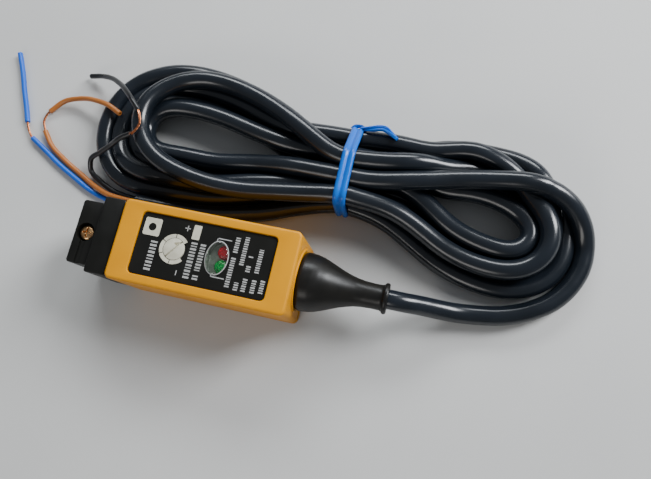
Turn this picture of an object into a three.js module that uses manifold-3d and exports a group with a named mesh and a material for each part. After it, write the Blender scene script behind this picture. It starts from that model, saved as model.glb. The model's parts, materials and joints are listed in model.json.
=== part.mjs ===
// Photoelectric sensor, a fibre amplifier: a yellow box housing with a label field, an adjuster and two
// indicators on top, a black head that clamps two optical fibres in front, and a 6 mm cord behind.
// The cord is wound in a hank beside the housing and ends in three bare wires.
// Millimetres, +Z up, +X towards the cord, the housing's base on Z = 0.
import * as THREE from "three";
import { mergeVertices } from "three/addons/utils/BufferGeometryUtils.js";
import Module from "manifold-3d";

const wasm = await Module();
wasm.setup();

// Driving dimensions
const bodyLength = 56;
const bodyWidth = 25;
const bodyHeight = 24;
const headLength = 15;
const bootLength = 27;
const wall = 1.6;
const gap = 0.3;
const cordRadius = 3;
const wireRadius = 0.9;
const clampTravel = 0.83;

// Places along X, with the middle of head, body and boot at X = 0
const rearEnd = (headLength + bodyLength + bootLength) / 2;
const frontEnd = -rearEnd;
const bodyFront = frontEnd + headLength;
const bodyRear = bodyFront + bodyLength;
const bodyMiddle = (bodyFront + bodyRear) / 2;
const halfWidth = bodyWidth / 2;

// Heights
const coverTop = 2.4;
const shellBottom = 3.2;
const cavityTop = bodyHeight - 2.4;
const fieldFloor = bodyHeight - 1.1;
const labelTop = bodyHeight - 0.6;
const boardBottom = 10.4;
const boardTop = 12;
const fibreHeight = 11;
const cordHeight = bodyHeight / 2;

// The label field and what stands in it
const fieldHalfLength = 21.3;
const fieldHalfWidth = 9.6;
const adjusterX = bodyMiddle - 9;
const adjusterRadius = 3.3;
const stemRadius = 1.5;
const pointerAngle = THREE.MathUtils.degToRad(52);
const windowX = bodyMiddle + 4.5;
const windowHalf = { x: 3.3, y: 4.9 };
const ledX = windowX + 0.65;
const ledY = 2.1;
const ledRadius = 1.5;

// The head
const opticRear = bodyFront - 0.6;
const opticFront = opticRear - 6.9;
const clampRear = opticFront - gap;
const fibreY = 3.6;
const fibrePortRadius = 1.3;
const clampX = (frontEnd + clampRear) / 2;
const clampScrewRadius = 1.45;
const headScrew = { y: 8.1, z: 16.5 };

// Fasteners
const coverScrewX = [bodyFront + 3.8, bodyRear - 4];
const coverScrewY = 9.4;
const insertX = [bodyMiddle - 18, bodyMiddle + 18];

// Where the tie goes round the hank
const tieX = 28.6;
const tieHalfWidth = 2;
const tieMiddleY = 37.6;

// The cord from the boot to the hank, along its centre
const leadRoute = [
  [rearEnd + gap, 0, cordHeight],
  [50.6, 0, cordHeight],
  [54, 0.1, 11.1],
  [58.5, 0.5, 8.8],
  [63.5, 0.8, 6.2],
  [68.5, 1.1, 4.2],
  [75.3, 1.9, 3.2],
  [83, 3.3, 3.1],
  [90.5, 6.3, 3.1],
  [96.5, 10.4, 3.1],
  [101, 16.2, 3.1],
  [103.3, 22.2, 3.2],
  [103.6, 28, 3.6],
];

// Where the same cord runs on, over the end of the hank
const overrunRoute = [
  [103.6, 28.4, 3.65],
  [103.5, 30, 3.8],
  [101.6, 34.4, 5],
  [97.4, 38.8, 7],
  [91, 42, 8.8],
  [82, 43.4, 9.2],
];

// The cord from the hank to its cut end, along its centre
const tailRoute = [
  [2.9, 20.8, 3.1],
  [-3, 19.2, 3.1],
  [-10, 17.6, 3.1],
  [-18, 16.4, 3.1],
  [-27, 15.9, 3.1],
  [-34.5, 15.8, 3.1],
  [-41, 15.8, 3.1],
];

// The three wires: insulation from the cord's end, the bare strands, and the loose sleeve
const wireRoutes = {
  blue: {
    insulation: [
      [-41.3, 14.9, 2.2],
      [-46, 14.9, 1.6],
      [-53.4, 15.3, 1.1],
      [-60.5, 17.3, 1],
      [-67.6, 20.6, 1],
      [-74.8, 24.2, 1],
      [-82.3, 28.6, 1],
      [-88.5, 32.2, 1],
    ],
    strands: [
      [-88.8, 32.4, 1],
      [-90.9, 34.6, 1],
      [-92.5, 37.4, 1],
    ],
    sleeve: [
      [-92.7, 37.8, 1],
      [-95.2, 43.4, 1],
      [-98.4, 49.8, 1],
      [-101.2, 56, 1],
      [-105.4, 64, 1],
    ],
  },
  brown: {
    insulation: [
      [-41.3, 15.6, 4.3],
      [-46, 15.8, 4.1],
      [-52.5, 16.6, 3.3],
      [-58.5, 18.7, 2],
      [-65, 21.9, 1],
      [-74, 26.6, 1],
      [-80.4, 30.8, 1],
      [-84.6, 35.6, 1],
    ],
    strands: [
      [-84.8, 36, 1],
      [-86.4, 39.2, 1],
      [-85.6, 42.8, 1.1],
    ],
    sleeve: [
      [-85.3, 43.2, 1.1],
      [-80.6, 47.6, 1.9],
      [-74.3, 49.2, 3.2],
      [-64.4, 48.2, 6.4],
      [-60.4, 47.2, 7.3],
      [-54.6, 44.6, 7.4],
    ],
  },
  black: {
    insulation: [
      [-41.3, 17, 2.4],
      [-45.5, 17.4, 2],
      [-51.6, 18.5, 1.4],
      [-57.6, 21.1, 1.2],
      [-61.8, 24, 2.2],
      [-61.8, 27.4, 5.4],
      [-57.2, 29.8, 8.6],
      [-52.6, 32.4, 10.4],
      [-48.6, 34.6, 12.7],
      [-45.4, 36, 13.6],
    ],
    strands: [
      [-45.1, 36.4, 13.6],
      [-43.2, 40.5, 13.6],
      [-44.6, 44.7, 13.6],
    ],
    sleeve: [
      [-44.8, 45.1, 13.6],
      [-47.4, 47.2, 13.5],
      [-51.6, 50.8, 12],
      [-56.7, 54.3, 9.4],
      [-62.2, 57.4, 6.6],
      [-67.6, 58.6, 3.6],
      [-73.4, 58.9, 1.5],
    ],
  },
};

// ---- Shapes and solids

// Any closed geometry as a solid that can be joined and cut, with its faces turned outwards.
function solid(geometry) {
  const bare = geometry.index ? geometry.toNonIndexed() : geometry.clone();
  bare.deleteAttribute("normal");
  bare.deleteAttribute("uv");
  const merged = mergeVertices(bare, 1e-4);
  const corners = merged.index.array;
  const places = merged.attributes.position.array;
  const kept = [];
  let volume = 0;
  for (let i = 0; i < corners.length; i += 3) {
    const [a, b, c] = corners.slice(i, i + 3);
    if (a === b || b === c || c === a) continue;
    kept.push(a, b, c);
    const [p, q, r] = [a, b, c].map((n) => new THREE.Vector3().fromArray(places, 3 * n));
    volume += p.dot(q.cross(r));
  }
  if (volume < 0) kept.reverse();
  return new wasm.Manifold(
    new wasm.Mesh({ numProp: 3, vertProperties: places, triVerts: new Uint32Array(kept) }),
  );
}

// A solid box from three [low, high] pairs.
function box(x, y, z) {
  const geometry = new THREE.BoxGeometry(x[1] - x[0], y[1] - y[0], z[1] - z[0]);
  geometry.translate((x[0] + x[1]) / 2, (y[0] + y[1]) / 2, (z[0] + z[1]) / 2);
  return solid(geometry);
}

// A round bar along Z, or along X when along is "x". u and v are its place across its axis.
function bar(along, radius, ends, u, v, sides = 12) {
  const length = ends[1] - ends[0];
  const middle = (ends[0] + ends[1]) / 2;
  const geometry = new THREE.CylinderGeometry(radius, radius, length, sides);
  if (along === "x") {
    geometry.rotateZ(Math.PI / 2);
    geometry.translate(middle, u, v);
  } else {
    geometry.rotateX(Math.PI / 2);
    geometry.translate(u, v, middle);
  }
  return solid(geometry);
}

// A rectangle with round corners as a flat outline.
function roundedRectangle(x, y, radius) {
  const shape = new THREE.Shape();
  shape.absarc(x[1] - radius, y[1] - radius, radius, 0, Math.PI / 2);
  shape.absarc(x[0] + radius, y[1] - radius, radius, Math.PI / 2, Math.PI);
  shape.absarc(x[0] + radius, y[0] + radius, radius, Math.PI, 1.5 * Math.PI);
  shape.absarc(x[1] - radius, y[0] + radius, radius, 1.5 * Math.PI, 2 * Math.PI);
  return shape;
}

// An ellipse as a flat outline.
function ellipse(x, y, halfX, halfY) {
  return new THREE.Shape().absellipse(x, y, halfX, halfY, 0, 2 * Math.PI);
}

// A flat outline raised from one height to another, its edges rounded by edge.
function slab(shape, z, edge = 0, curveSegments = 3) {
  const geometry = new THREE.ExtrudeGeometry(shape, {
    depth: z[1] - z[0] - 2 * edge,
    curveSegments,
    bevelEnabled: edge > 0,
    bevelThickness: edge,
    bevelSize: edge,
    bevelOffset: -edge,
    bevelSegments: 2,
  });
  geometry.translate(0, 0, z[0] + edge);
  return solid(geometry);
}

// A profile of [distance along the axis, radius] turned round X at height z, or round Z at a place.
function turned(along, profile, u, v, segments = 18) {
  const points = profile.map(([axial, radius]) => new THREE.Vector2(radius, axial));
  const geometry = new THREE.LatheGeometry(points, segments);
  if (along === "x") {
    geometry.rotateZ(-Math.PI / 2);
    geometry.translate(0, u, v);
  } else {
    geometry.rotateX(Math.PI / 2);
    geometry.translate(u, v, 0);
  }
  return solid(geometry);
}

// A ring of rectangular section round an axis.
function ring(along, inner, outer, ends, u, v, segments = 16) {
  const profile = [
    [ends[0], inner],
    [ends[0], outer],
    [ends[1], outer],
    [ends[1], inner],
    [ends[0], inner],
  ];
  return turned(along, profile, u, v, segments);
}

// A round cord along a smooth line through its points.
function tube(route, radius, sides, steps) {
  const path = new THREE.CatmullRomCurve3(route.map((p) => new THREE.Vector3(...p)));
  const corners = [];
  for (let i = 0; i < sides; i++) {
    const angle = (2 * Math.PI * i) / sides;
    corners.push(new THREE.Vector2(radius * Math.cos(angle), radius * Math.sin(angle)));
  }
  return solid(new THREE.ExtrudeGeometry(new THREE.Shape(corners), { steps, extrudePath: path }));
}

// A flat outline along a smooth line, open or closed, through its points.
function smoothOutline(points, samples, closed) {
  const places = points.map(([x, y]) => new THREE.Vector3(x, y, 0));
  const line = new THREE.CatmullRomCurve3(places, closed);
  return new THREE.Shape(line.getPoints(samples).map((p) => new THREE.Vector2(p.x, p.y)));
}

function joined(solids) {
  return solids.reduce((sum, one) => sum.add(one));
}

function cut(whole, solids) {
  return solids.reduce((rest, one) => rest.subtract(one), whole);
}

// ---- The housing and its base

function coverScrewPlaces() {
  return coverScrewX.flatMap((x) => [-coverScrewY, coverScrewY].map((y) => [x, y]));
}

function bodyOutline(inset = 0) {
  return roundedRectangle(
    [bodyFront + inset, bodyRear - inset],
    [-halfWidth + inset, halfWidth - inset],
    Math.max(1.8 - inset, 0.4),
  );
}

function housing() {
  const outside = slab(bodyOutline(), [0, bodyHeight], 0.9);
  const cavity = box(
    [bodyFront + wall, bodyRear - wall],
    [-halfWidth + wall, halfWidth - wall],
    [-1, cavityTop],
  );
  const field = slab(
    roundedRectangle(
      [bodyMiddle - fieldHalfLength, bodyMiddle + fieldHalfLength],
      [-fieldHalfWidth, fieldHalfWidth],
      1.5,
    ),
    [fieldFloor, bodyHeight + 1],
  );
  const shell = cut(outside, [cavity, box([-60, 60], [-20, 20], [-1, shellBottom]), field]);
  const posts = coverScrewPlaces().map(([x, y]) => bar("z", 2, [shellBottom, cavityTop + 0.5], x, y));
  const adjusterBoss = bar("z", 4.9, [17.6, cavityTop + 0.5], adjusterX, 0, 20);
  const boardStops = [-10.4, 10.4].map((y) =>
    box([bodyFront + 10, bodyRear - 12], [y - 0.7, y + 0.7], [boardTop + 0.2, boardTop + 1.4]),
  );
  const screwHoles = coverScrewPlaces().map(([x, y]) => bar("z", 1.15, [0, 14], x, y, 8));
  const headHoles = [-1, 1].map((side) =>
    bar("x", 1.15, [bodyFront - 1, bodyFront + 2.2], side * headScrew.y, headScrew.z, 8),
  );
  return cut(joined([shell, ...posts, adjusterBoss, ...boardStops]), [
    ...screwHoles,
    ...headHoles,
    bar("z", adjusterRadius + gap, [21.5, bodyHeight], adjusterX, 0, 24),
    bar("z", 2.7, [19.2, 22], adjusterX, 0, 16),
    bar("z", stemRadius + gap, [17, 20], adjusterX, 0, 16),
    slab(ellipse(windowX, 0, windowHalf.x + 0.2, windowHalf.y + 0.2), [cavityTop - 1, bodyHeight], 0, 10),
    box([bodyFront - 1, bodyFront + wall + 1], [-7.1, 7.1], [5.7, 17.3]),
    bar("x", 5.3, [bodyRear - wall - 1, bodyRear + 1], 0, cordHeight, 20),
  ]);
}

function baseCover() {
  const plate = cut(slab(bodyOutline(), [0, coverTop + 1], 0.5), [
    box([-60, 60], [-20, 20], [coverTop, coverTop + 2]),
  ]);
  const inner = wall + 0.4;
  const rim = cut(slab(bodyOutline(inner), [coverTop - 0.5, 4.8]), [
    slab(bodyOutline(inner + 1.2), [0, 6]),
    ...coverScrewPlaces().map(([x, y]) => bar("z", 2.4, [0, 6], x, y)),
  ]);
  const boardPosts = [bodyFront + 8.5, bodyRear - 12.5].flatMap((x) =>
    [-7.6, 7.6].map((y) => bar("z", 1.3, [coverTop - 0.5, boardBottom - 0.2], x, y, 8)),
  );
  const insertBosses = insertX.map((x) => bar("z", 3.6, [coverTop - 0.5, 6.8], x, 0, 16));
  return cut(joined([plate, rim, ...boardPosts, ...insertBosses]), [
    ...coverScrewPlaces().map(([x, y]) => bar("z", 2.2, [-1, 1.7], x, y)),
    ...coverScrewPlaces().map(([x, y]) => bar("z", 1.25, [0, 4], x, y, 8)),
    ...insertX.map((x) => bar("z", 2.5, [-1, 5.9], x, 0, 16)),
  ]);
}

function baseGasket() {
  const outside = slab(bodyOutline(0.25), [coverTop + 0.1, shellBottom - 0.1]);
  return cut(outside, [slab(bodyOutline(wall + 0.1), [0, 6])]);
}

function coverScrew(x, y) {
  return cut(joined([bar("z", 1.9, [0.4, 1.5], x, y), bar("z", 0.85, [1.2, 11.5], x, y, 8)]), [
    box([x - 1.3, x + 1.3], [y - 0.25, y + 0.25], [0, 0.9]),
    box([x - 0.25, x + 0.25], [y - 1.3, y + 1.3], [0, 0.9]),
  ]);
}

function mountingInsert(x) {
  return ring("z", 1.25, 2.2, [0.1, 5.6], x, 0, 14);
}

// ---- The label field

function labelPlate() {
  const plate = slab(
    roundedRectangle(
      [bodyMiddle - fieldHalfLength + 0.2, bodyMiddle + fieldHalfLength - 0.2],
      [-fieldHalfWidth + 0.2, fieldHalfWidth - 0.2],
      1.3,
    ),
    [fieldFloor + 0.1, labelTop],
  );
  return cut(plate, [
    bar("z", adjusterRadius + gap, [20, 30], adjusterX, 0, 24),
    slab(ellipse(windowX, 0, windowHalf.x + 0.2, windowHalf.y + 0.2), [20, 30], 0, 10),
  ]);
}

function sensitivityAdjuster() {
  const top = labelTop + 0.1;
  const turning = turned(
    "z",
    [
      [15.6, 0],
      [15.6, stemRadius],
      [21.9, stemRadius],
      [21.9, adjusterRadius],
      [top - 0.3, adjusterRadius],
      [top, adjusterRadius - 0.3],
      [top, 0],
    ],
    0,
    0,
    24,
  );
  const slot = new THREE.BoxGeometry(2 * adjusterRadius, 0.8, 1.2);
  slot.translate(0, 0, top);
  const pointer = new THREE.CylinderGeometry(1, 1, 1.2, 3);
  pointer.rotateX(Math.PI / 2);
  pointer.rotateZ(-Math.PI / 2);
  pointer.translate(adjusterRadius - 1.3, 0, top);
  const drive = new THREE.BoxGeometry(4, 1.2, 1.4);
  drive.translate(0, 2.15, 15.9);
  const otherDrive = drive.clone();
  otherDrive.translate(0, -4.3, 0);
  return cut(turning, [slot, pointer, drive, otherDrive].map(solid))
    .rotate([0, 0, THREE.MathUtils.radToDeg(pointerAngle)])
    .translate([adjusterX, 0, 0]);
}

function indicatorWindow() {
  const pane = slab(ellipse(windowX, 0, windowHalf.x, windowHalf.y), [20.4, labelTop + 0.5], 0.35, 10);
  const flange = slab(ellipse(windowX, 0, windowHalf.x + 0.9, windowHalf.y + 0.9), [20.4, 21.3], 0, 8);
  const hollow = slab(ellipse(windowX, 0, windowHalf.x - 0.5, windowHalf.y - 0.5), [19, 23.1], 0, 8);
  return cut(joined([pane, flange]), [hollow]);
}

function led(side) {
  const low = 17.3;
  const high = 22.7;
  const profile = [
    [low, 0],
    [low, ledRadius],
    [high - ledRadius, ledRadius],
  ];
  const rings = 3;
  for (let i = 1; i <= rings; i++) {
    const angle = (i * Math.PI) / (2 * rings);
    const radius = i < rings ? ledRadius * Math.cos(angle) : 0;
    profile.push([high - ledRadius + ledRadius * Math.sin(angle), radius]);
  }
  return turned("z", profile, ledX, side * ledY, 16);
}

// ---- Inside the housing

function mainBoard() {
  return box([bodyFront + 6.2, bodyRear - 10.5], [-10.3, 10.3], [boardBottom, boardTop]);
}

function opticsBoard() {
  return box([bodyFront + 3.1, bodyFront + 4.5], [-6.9, 6.9], [5.6, 17]);
}

function ledSpacer() {
  return cut(box([ledX - 1.9, ledX + 1.9], [-3.9, 3.9], [boardTop + gap, 17]), [
    box([ledX - 0.8, ledX + 0.8], [-0.3, 0.3], [14, 18]),
  ]);
}

function trimmerBody() {
  const top = 17.2;
  return cut(box([adjusterX - 3.5, adjusterX + 3.5], [-3.5, 3.5], [boardTop + gap, top]), [
    bar("z", 2.6, [13.5, top + 1], adjusterX, 0, 16),
  ]);
}

function trimmerRotor() {
  const whole = bar("z", 2.4, [13.8, 16.4], 0, 0, 18);
  const socket = box([-1.8, 1.8], [-1.65, 1.65], [15.3, 17.3]);
  return whole
    .subtract(socket)
    .rotate([0, 0, THREE.MathUtils.radToDeg(pointerAngle)])
    .translate([adjusterX, 0, 0]);
}

function adjusterSeal() {
  const profile = [];
  for (let i = 0; i <= 6; i++) {
    const angle = (i * Math.PI) / 3;
    profile.push([20 + 0.45 * Math.sin(angle), 2.08 + 0.45 * Math.cos(angle)]);
  }
  return turned("z", profile, adjusterX, 0, 16);
}

function controlIc() {
  const middleY = 5;
  const body = slab(
    roundedRectangle([-27, -20], [middleY - 3.1, middleY + 3.1], 0.3),
    [boardTop + 0.4, boardTop + 2.2],
    0,
    2,
  );
  const pins = [-1, 1].flatMap((side) =>
    [-26, -24.5, -23, -21.5].map((x) =>
      box(
        [x - 0.3, x + 0.3],
        [middleY + side * 3.5 - 0.6, middleY + side * 3.5 + 0.6],
        [boardTop + 0.1, boardTop + 1],
      ),
    ),
  );
  return joined([body, ...pins]);
}

function filterCapacitor() {
  return turned(
    "x",
    [
      [3.4, 0],
      [3.4, 2.3],
      [3.8, 2.5],
      [9.6, 2.5],
      [10, 2.2],
      [10.4, 2.5],
      [11, 2.5],
      [11.4, 2.2],
      [11.4, 0],
    ],
    -6,
    boardTop + 2.8,
    14,
  );
}

function outputTransistor() {
  const body = slab(roundedRectangle([4.4, 9.4], [4.6, 8.2], 0.4), [boardTop + gap, boardTop + 4.4], 0, 2);
  return body.add(box([4.7, 9.1], [8, 8.6], [boardTop + gap, boardTop + 6.4]));
}

function shieldCan() {
  const can = slab(roundedRectangle([-27.4, -20.2], [-9, -1.6], 0.5), [boardTop + gap, boardTop + 4], 0, 2);
  return can.subtract(box([-27, -20.6], [-8.6, -2], [boardTop, boardTop + 3.6]));
}

// ---- The head

function opticBlock() {
  const block = slab(roundedRectangle([opticFront, opticRear], [-12, 12], 0.7), [1, 22.4], 0.4, 2);
  const spigot = box([opticRear - 1, bodyFront + 1.9], [-6.8, 6.8], [6, 17]);
  return cut(block.add(spigot), [
    ...[-1, 1].flatMap((side) => [
      bar("x", 1.2, [opticFront - 1, opticRear + 6], side * fibreY, fibreHeight, 10),
      bar("x", 2.3, [opticFront - 1, opticFront + 2.3], side * fibreY, fibreHeight, 14),
      bar("x", 2.5, [opticFront + 4.6, opticRear + 6], side * fibreY, fibreHeight, 14),
      bar("x", 1.2, [opticFront - 1, opticRear + 6], side * headScrew.y, headScrew.z, 8),
    ]),
  ]);
}

function headGasket() {
  const x = [opticRear + 0.1, bodyFront - 0.1];
  return cut(box(x, [-11.2, 11.2], [4.2, 20.6]), [
    box([x[0] - 1, x[1] + 1], [-7, 7], [5.8, 17.2]),
    ...[-1, 1].map((side) => bar("x", 1.3, [x[0] - 1, x[1] + 1], side * headScrew.y, headScrew.z, 8)),
  ]);
}

function clampBlock() {
  const top = 20.8;
  const block = slab(roundedRectangle([frontEnd, clampRear], [-10, 10], 0.8), [2, top], 0.4, 2);
  return cut(block, [
    bar("z", 2.9, [18.4, top + 1], clampX, 0, 20),
    bar("z", 1.75, [13, 19], clampX, 0, 16),
    box([clampX - 2.1, clampX + 2.1], [-6.6, 6.6], [0, 13.9]),
    box([clampX - 0.9, clampX + 0.9], [-11, -2.6], [top - 0.5, top + 1]),
    ...[-1, 1].flatMap((side) => [
      bar("x", fibrePortRadius, [frontEnd - 1, clampRear + 1], side * fibreY, fibreHeight, 12),
      bar("x", 1.2, [frontEnd - 1, clampRear + 1], side * headScrew.y, headScrew.z, 8),
      bar("x", 1.75, [frontEnd - 1, frontEnd + 1.6], side * headScrew.y, headScrew.z, 12),
    ]),
  ]);
}

// The screw is turned in place by its recess, and its thread draws the jaw up.
function clampScrew() {
  const headBottom = 18.55;
  const headTop = 20.1;
  const screw = turned(
    "z",
    [
      [5, 0],
      [5, clampScrewRadius],
      [12.7, clampScrewRadius],
      [12.7, 1.15],
      [13.5, 1.15],
      [13.5, clampScrewRadius],
      [headBottom, clampScrewRadius],
      [headBottom, 2.3],
      [headTop - 0.5, 2.3],
      [headTop - 0.15, 1.9],
      [headTop, 1.2],
      [headTop, 0],
    ],
    clampX,
    0,
    16,
  );
  return cut(screw, [
    box([clampX - 1.5, clampX + 1.5], [-0.28, 0.28], [headTop - 0.9, 22]),
    box([clampX - 0.28, clampX + 0.28], [-1.5, 1.5], [headTop - 0.9, 22]),
  ]);
}

function clampClip() {
  const whole = ring("z", 1.25, 1.95, [12.85, 13.35], clampX, 0);
  return whole.subtract(box([clampX, clampX + 3], [-0.5, 0.5], [12, 14]));
}

function clampJaw() {
  return cut(box([clampX - 1.8, clampX + 1.8], [-6.3, 6.3], [6.4, 9.2]), [
    bar("z", clampScrewRadius + 0.15, [0, 12], clampX, 0, 16),
    ...[-1, 1].map((side) =>
      bar("x", 1.3, [clampX - 3, clampX + 3], side * fibreY, fibreHeight - clampTravel),
    ),
  ]);
}

function fibreSeal(side) {
  return ring("x", 1.15, 2.15, [opticFront + 0.15, opticFront + 2.15], side * fibreY, fibreHeight, 12);
}

function opticalElement(side) {
  return turned(
    "x",
    [
      [opticFront + 4.9, 0],
      [opticFront + 4.9, 1.2],
      [opticFront + 5.5, 1.9],
      [opticFront + 8.2, 1.9],
      [opticFront + 8.2, 2.25],
      [bodyFront + 2.6, 2.25],
      [bodyFront + 2.6, 0],
    ],
    side * fibreY,
    fibreHeight,
    14,
  );
}

function headScrewSolid(side) {
  const shank = bar("x", 0.85, [frontEnd + 1, bodyFront + 1.9], side * headScrew.y, headScrew.z, 8);
  const head = bar("x", 1.5, [frontEnd + 0.3, frontEnd + 1.4], side * headScrew.y, headScrew.z);
  const y = side * headScrew.y;
  return cut(shank.add(head), [
    box([frontEnd, frontEnd + 0.8], [y - 0.2, y + 0.2], [headScrew.z - 1.1, headScrew.z + 1.1]),
    box([frontEnd, frontEnd + 0.8], [y - 1.1, y + 1.1], [headScrew.z - 0.2, headScrew.z + 0.2]),
  ]);
}

// ---- Where the cord comes in

function boot() {
  const inside = bodyRear - wall - gap;
  const outside = bodyRear + gap;
  return turned(
    "x",
    [
      [inside - 1.6, cordRadius + 0.2],
      [inside - 1.6, 6.4],
      [inside, 6.4],
      [inside, 5],
      [outside, 5],
      [outside, 8.7],
      [outside + 0.5, 8.95],
      [outside + 5.6, 8.35],
      [outside + 10.1, 6.6],
      [outside + 15, 4.9],
      [outside + 19.2, 3.95],
      [outside + 25, 3.8],
      [outside + 25.4, 4.7],
      [rearEnd, 4.7],
      [rearEnd, cordRadius + 0.2],
      [inside - 1.6, cordRadius + 0.2],
    ],
    0,
    cordHeight,
    24,
  );
}

function cordAnchor() {
  return ring("x", cordRadius + 0.2, 4.3, [bodyRear - 7.6, bodyRear - 4.4], 0, cordHeight, 16);
}

function cordCore() {
  return bar("x", cordRadius, [bodyRear - 7.9, rearEnd], 0, cordHeight, 12);
}

// A core of the cord, from the cord's end to the edge of the main board.
function innerLead(side, rise) {
  const start = bodyRear - 8.2;
  const route = [
    [start, 1.25 * side, cordHeight + rise],
    [start - 1.4, 1.7 * side, cordHeight + rise + 0.8],
    [start - 3.4, 2.6 * side, cordHeight + 2],
    [start - 5.6, 3 * side, boardTop + 0.9],
  ];
  return tube(route, 0.6, 6, 6);
}

// ---- The cord, its tie and its wires

// The tie's outline, smaller by inset and longer through the hank by stretch.
function tieRing(inset, stretch = 1) {
  const halfY = 13.7 - inset;
  const low = 0.1 + inset;
  const high = 18.2 - inset;
  const outline = roundedRectangle([-halfY, halfY], [low, high], 7.6 - inset);
  const geometry = new THREE.ExtrudeGeometry(outline, {
    depth: 2 * tieHalfWidth * stretch,
    curveSegments: 5,
    bevelEnabled: false,
  });
  geometry.translate(0, 0, -tieHalfWidth * stretch);
  geometry.rotateX(Math.PI / 2);
  geometry.rotateZ(Math.PI / 2);
  geometry.translate(tieX, tieMiddleY, 0);
  return geometry;
}

// The hank's outer shape: one layer of cord at its round ends, two along its middle, three at the tie.
function cordHank() {
  const lowest = smoothOutline(
    [
      [4.2, 24],
      [-10, 21.4],
      [-22, 19.6],
      [-35, 18.9],
      [-47, 20.6],
      [-56, 26],
      [-60.4, 34],
      [-60.8, 43],
      [-57, 52],
      [-48, 60],
      [-34, 64.6],
      [-18, 64.4],
      [0, 60],
      [16, 54],
      [28.6, 51.4],
      [44, 54],
      [60, 57],
      [74, 56.6],
      [86, 52.4],
      [95, 45.4],
      [99.6, 36],
      [99.8, 26],
      [96.4, 17],
      [89, 10.6],
      [78, 8.6],
      [66, 11],
      [52, 16.4],
      [40, 20.8],
      [28.6, 22.4],
      [16, 20.2],
      [4.2, 17.4],
    ],
    64,
    false,
  );
  const middle = smoothOutline(
    [
      [-46, 40],
      [-43.4, 30.6],
      [-30, 24.6],
      [-8, 23.2],
      [28.6, 25.6],
      [52, 21.4],
      [66, 15.6],
      [82, 14.4],
      [94, 22],
      [97.6, 32],
      [93, 42],
      [80, 47.6],
      [60, 47],
      [28.6, 49.6],
      [8, 54],
      [-14, 62],
      [-30, 63.6],
      [-42, 55],
    ],
    44,
    true,
  );
  const highest = slab(roundedRectangle([10, 48], [28.6, 46.6], 7), [12, 16], 0, 4);
  const waist = [tieX - tieHalfWidth - gap, tieX + tieHalfWidth + gap];
  const turns = joined([slab(lowest, [0.1, 6.1]), slab(middle, [6, 12.2]), highest]);
  const core = solid(tieRing(1.3, 3));
  const overrun = tube(overrunRoute, cordRadius, 8, 6);
  return joined([turns.subtract(box(waist, [0, 80], [-1, 30])), core, overrun]);
}

function hankTie() {
  const band = solid(tieRing(0)).subtract(solid(tieRing(1, 2)));
  const knot = box([tieX - 1.7, tieX + 1.9], [tieMiddleY + 13.2, tieMiddleY + 15.6], [5, 9.4]);
  const tail = tube(
    [
      [tieX + 1.2, tieMiddleY + 14.6, 8],
      [33, 52.4, 8.2],
      [36.4, 52.7, 8.4],
      [39.2, 52.3, 8.4],
      [41.8, 51.2, 8.4],
    ],
    1.1,
    8,
    8,
  );
  return joined([band, knot, tail]);
}

// ---- Materials

function material(color, roughness, metalness = 0) {
  return new THREE.MeshStandardMaterial({ color, roughness, metalness });
}

const yellow = material(0xd69605, 0.45);
const black = material(0x17181a, 0.5);
const label = material(0x111214, 0.35);
const ivory = material(0xcfcbb8, 0.5);
const clear = new THREE.MeshStandardMaterial({
  color: 0xd8dcdc,
  roughness: 0.1,
  transparent: true,
  opacity: 0.4,
});
const red = material(0xa01018, 0.2);
const green = material(0x0c8a3c, 0.2);
const boardGreen = material(0x1d5a34, 0.5);
const chip = material(0x18181a, 0.6);
const steel = material(0x9b9da0, 0.35, 1);
const brass = material(0xb98a55, 0.35, 1);
const copper = material(0xc07a58, 0.35, 1);
const rubber = material(0x1b1b1c, 0.65);
const trimmerBlue = material(0x2456a8, 0.5);
const cordBlack = material(0x141a22, 0.25);
const tieBlue = material(0x0f74dc, 0.25);
const wireColours = {
  blue: material(0x1260d8, 0.35),
  brown: material(0xae6a34, 0.45),
  black: material(0x1a1a18, 0.4),
};

// ---- The assembly

const sensor = new THREE.Group();

function place(name, shape, look) {
  const found = shape.getMesh();
  const geometry = new THREE.BufferGeometry();
  geometry.setAttribute("position", new THREE.BufferAttribute(found.vertProperties, 3));
  geometry.setIndex(new THREE.BufferAttribute(found.triVerts, 1));
  geometry.computeVertexNormals();
  const mesh = new THREE.Mesh(geometry, look);
  mesh.name = name;
  sensor.add(mesh);
}

place("housing", housing(), yellow);
place("base_cover", baseCover(), yellow);
place("base_gasket", baseGasket(), rubber);
coverScrewPlaces().forEach(([x, y], i) => place(`cover_screw_${i + 1}`, coverScrew(x, y), steel));
["front", "rear"].forEach((end, i) => place(`mounting_insert_${end}`, mountingInsert(insertX[i]), brass));

place("label_plate", labelPlate(), label);
place("sensitivity_adjuster", sensitivityAdjuster(), ivory);
place("adjuster_seal", adjusterSeal(), rubber);
place("indicator_window", indicatorWindow(), clear);
place("led_light_on", led(1), red);
place("led_stability", led(-1), green);
place("led_spacer", ledSpacer(), black);

place("main_board", mainBoard(), boardGreen);
place("optics_board", opticsBoard(), boardGreen);
place("trimmer_body", trimmerBody(), trimmerBlue);
place("trimmer_rotor", trimmerRotor(), ivory);
place("control_ic", controlIc(), chip);
place("filter_capacitor", filterCapacitor(), chip);
place("output_transistor", outputTransistor(), chip);
place("shield_can", shieldCan(), steel);

place("optic_block", opticBlock(), black);
place("head_gasket", headGasket(), rubber);
place("clamp_block", clampBlock(), black);
place("clamp_screw", clampScrew(), brass);
place("clamp_clip", clampClip(), steel);
place("clamp_jaw", clampJaw(), steel);
["left", "right"].forEach((name, i) => {
  const side = 2 * i - 1;
  place(`fibre_seal_${name}`, fibreSeal(side), rubber);
  place(`head_screw_${name}`, headScrewSolid(side), steel);
});
place("emitter_led", opticalElement(-1), clear);
place("photodiode", opticalElement(1), chip);

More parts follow.
